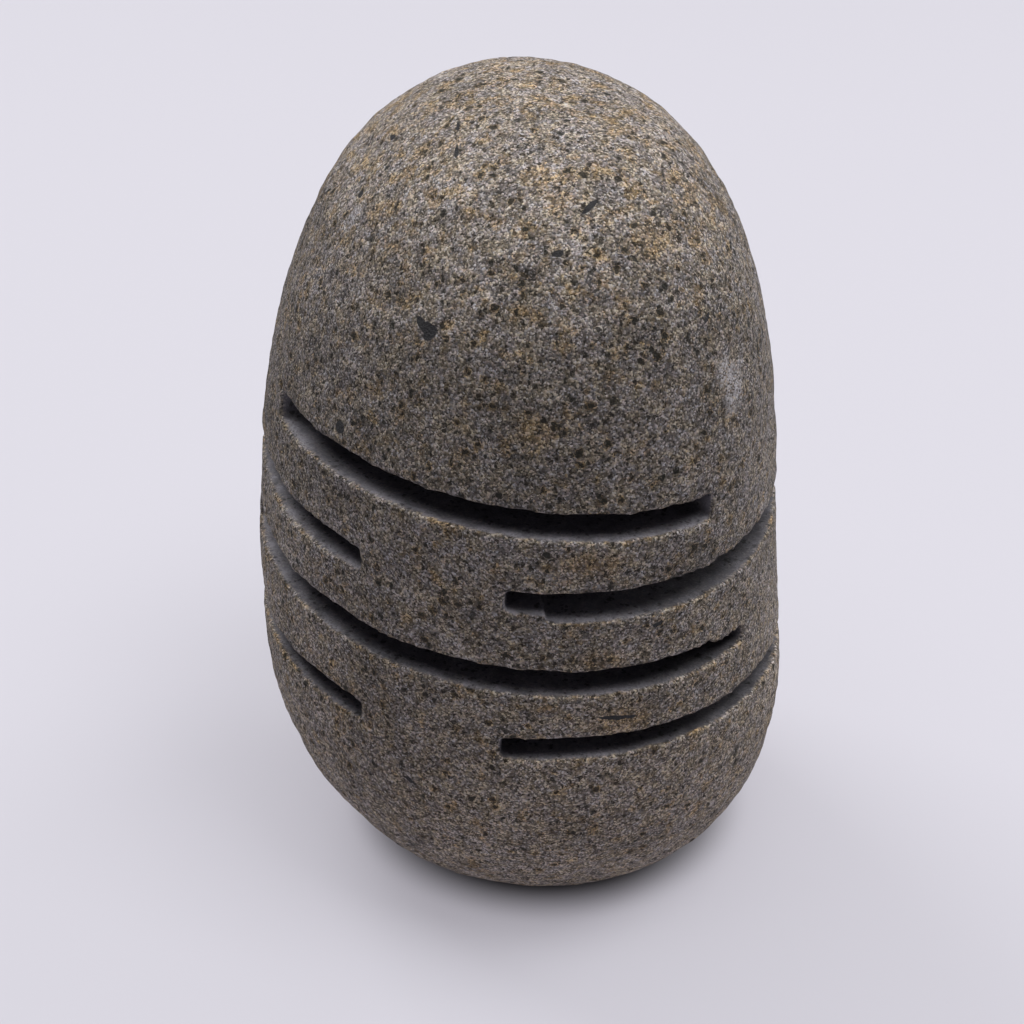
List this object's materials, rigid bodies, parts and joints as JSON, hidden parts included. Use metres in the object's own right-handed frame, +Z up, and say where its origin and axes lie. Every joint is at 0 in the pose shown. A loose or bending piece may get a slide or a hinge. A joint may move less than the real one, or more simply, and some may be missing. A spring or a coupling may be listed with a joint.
{
  "type": "carved stone figure",
  "caption": "Upright water-worn cobble with a flat base and deep level saw cuts, staggered like brickwork in rows around its waist.",
  "frame": {"origin": "middle of the flat face that the stone stands on", "axes": "+Z up; the front, with the long first and third rows of cuts, towards -Y; the stone's right towards +X"},
  "size_m": [0.0829, 0.0822, 0.1199],
  "materials": {
    "stone": "rough, medium-grained, with paler dusty saw cuts"
  },
  "bodies": {
    "root": {"carved_stone": "stone"}
  },
  "joints": []
}
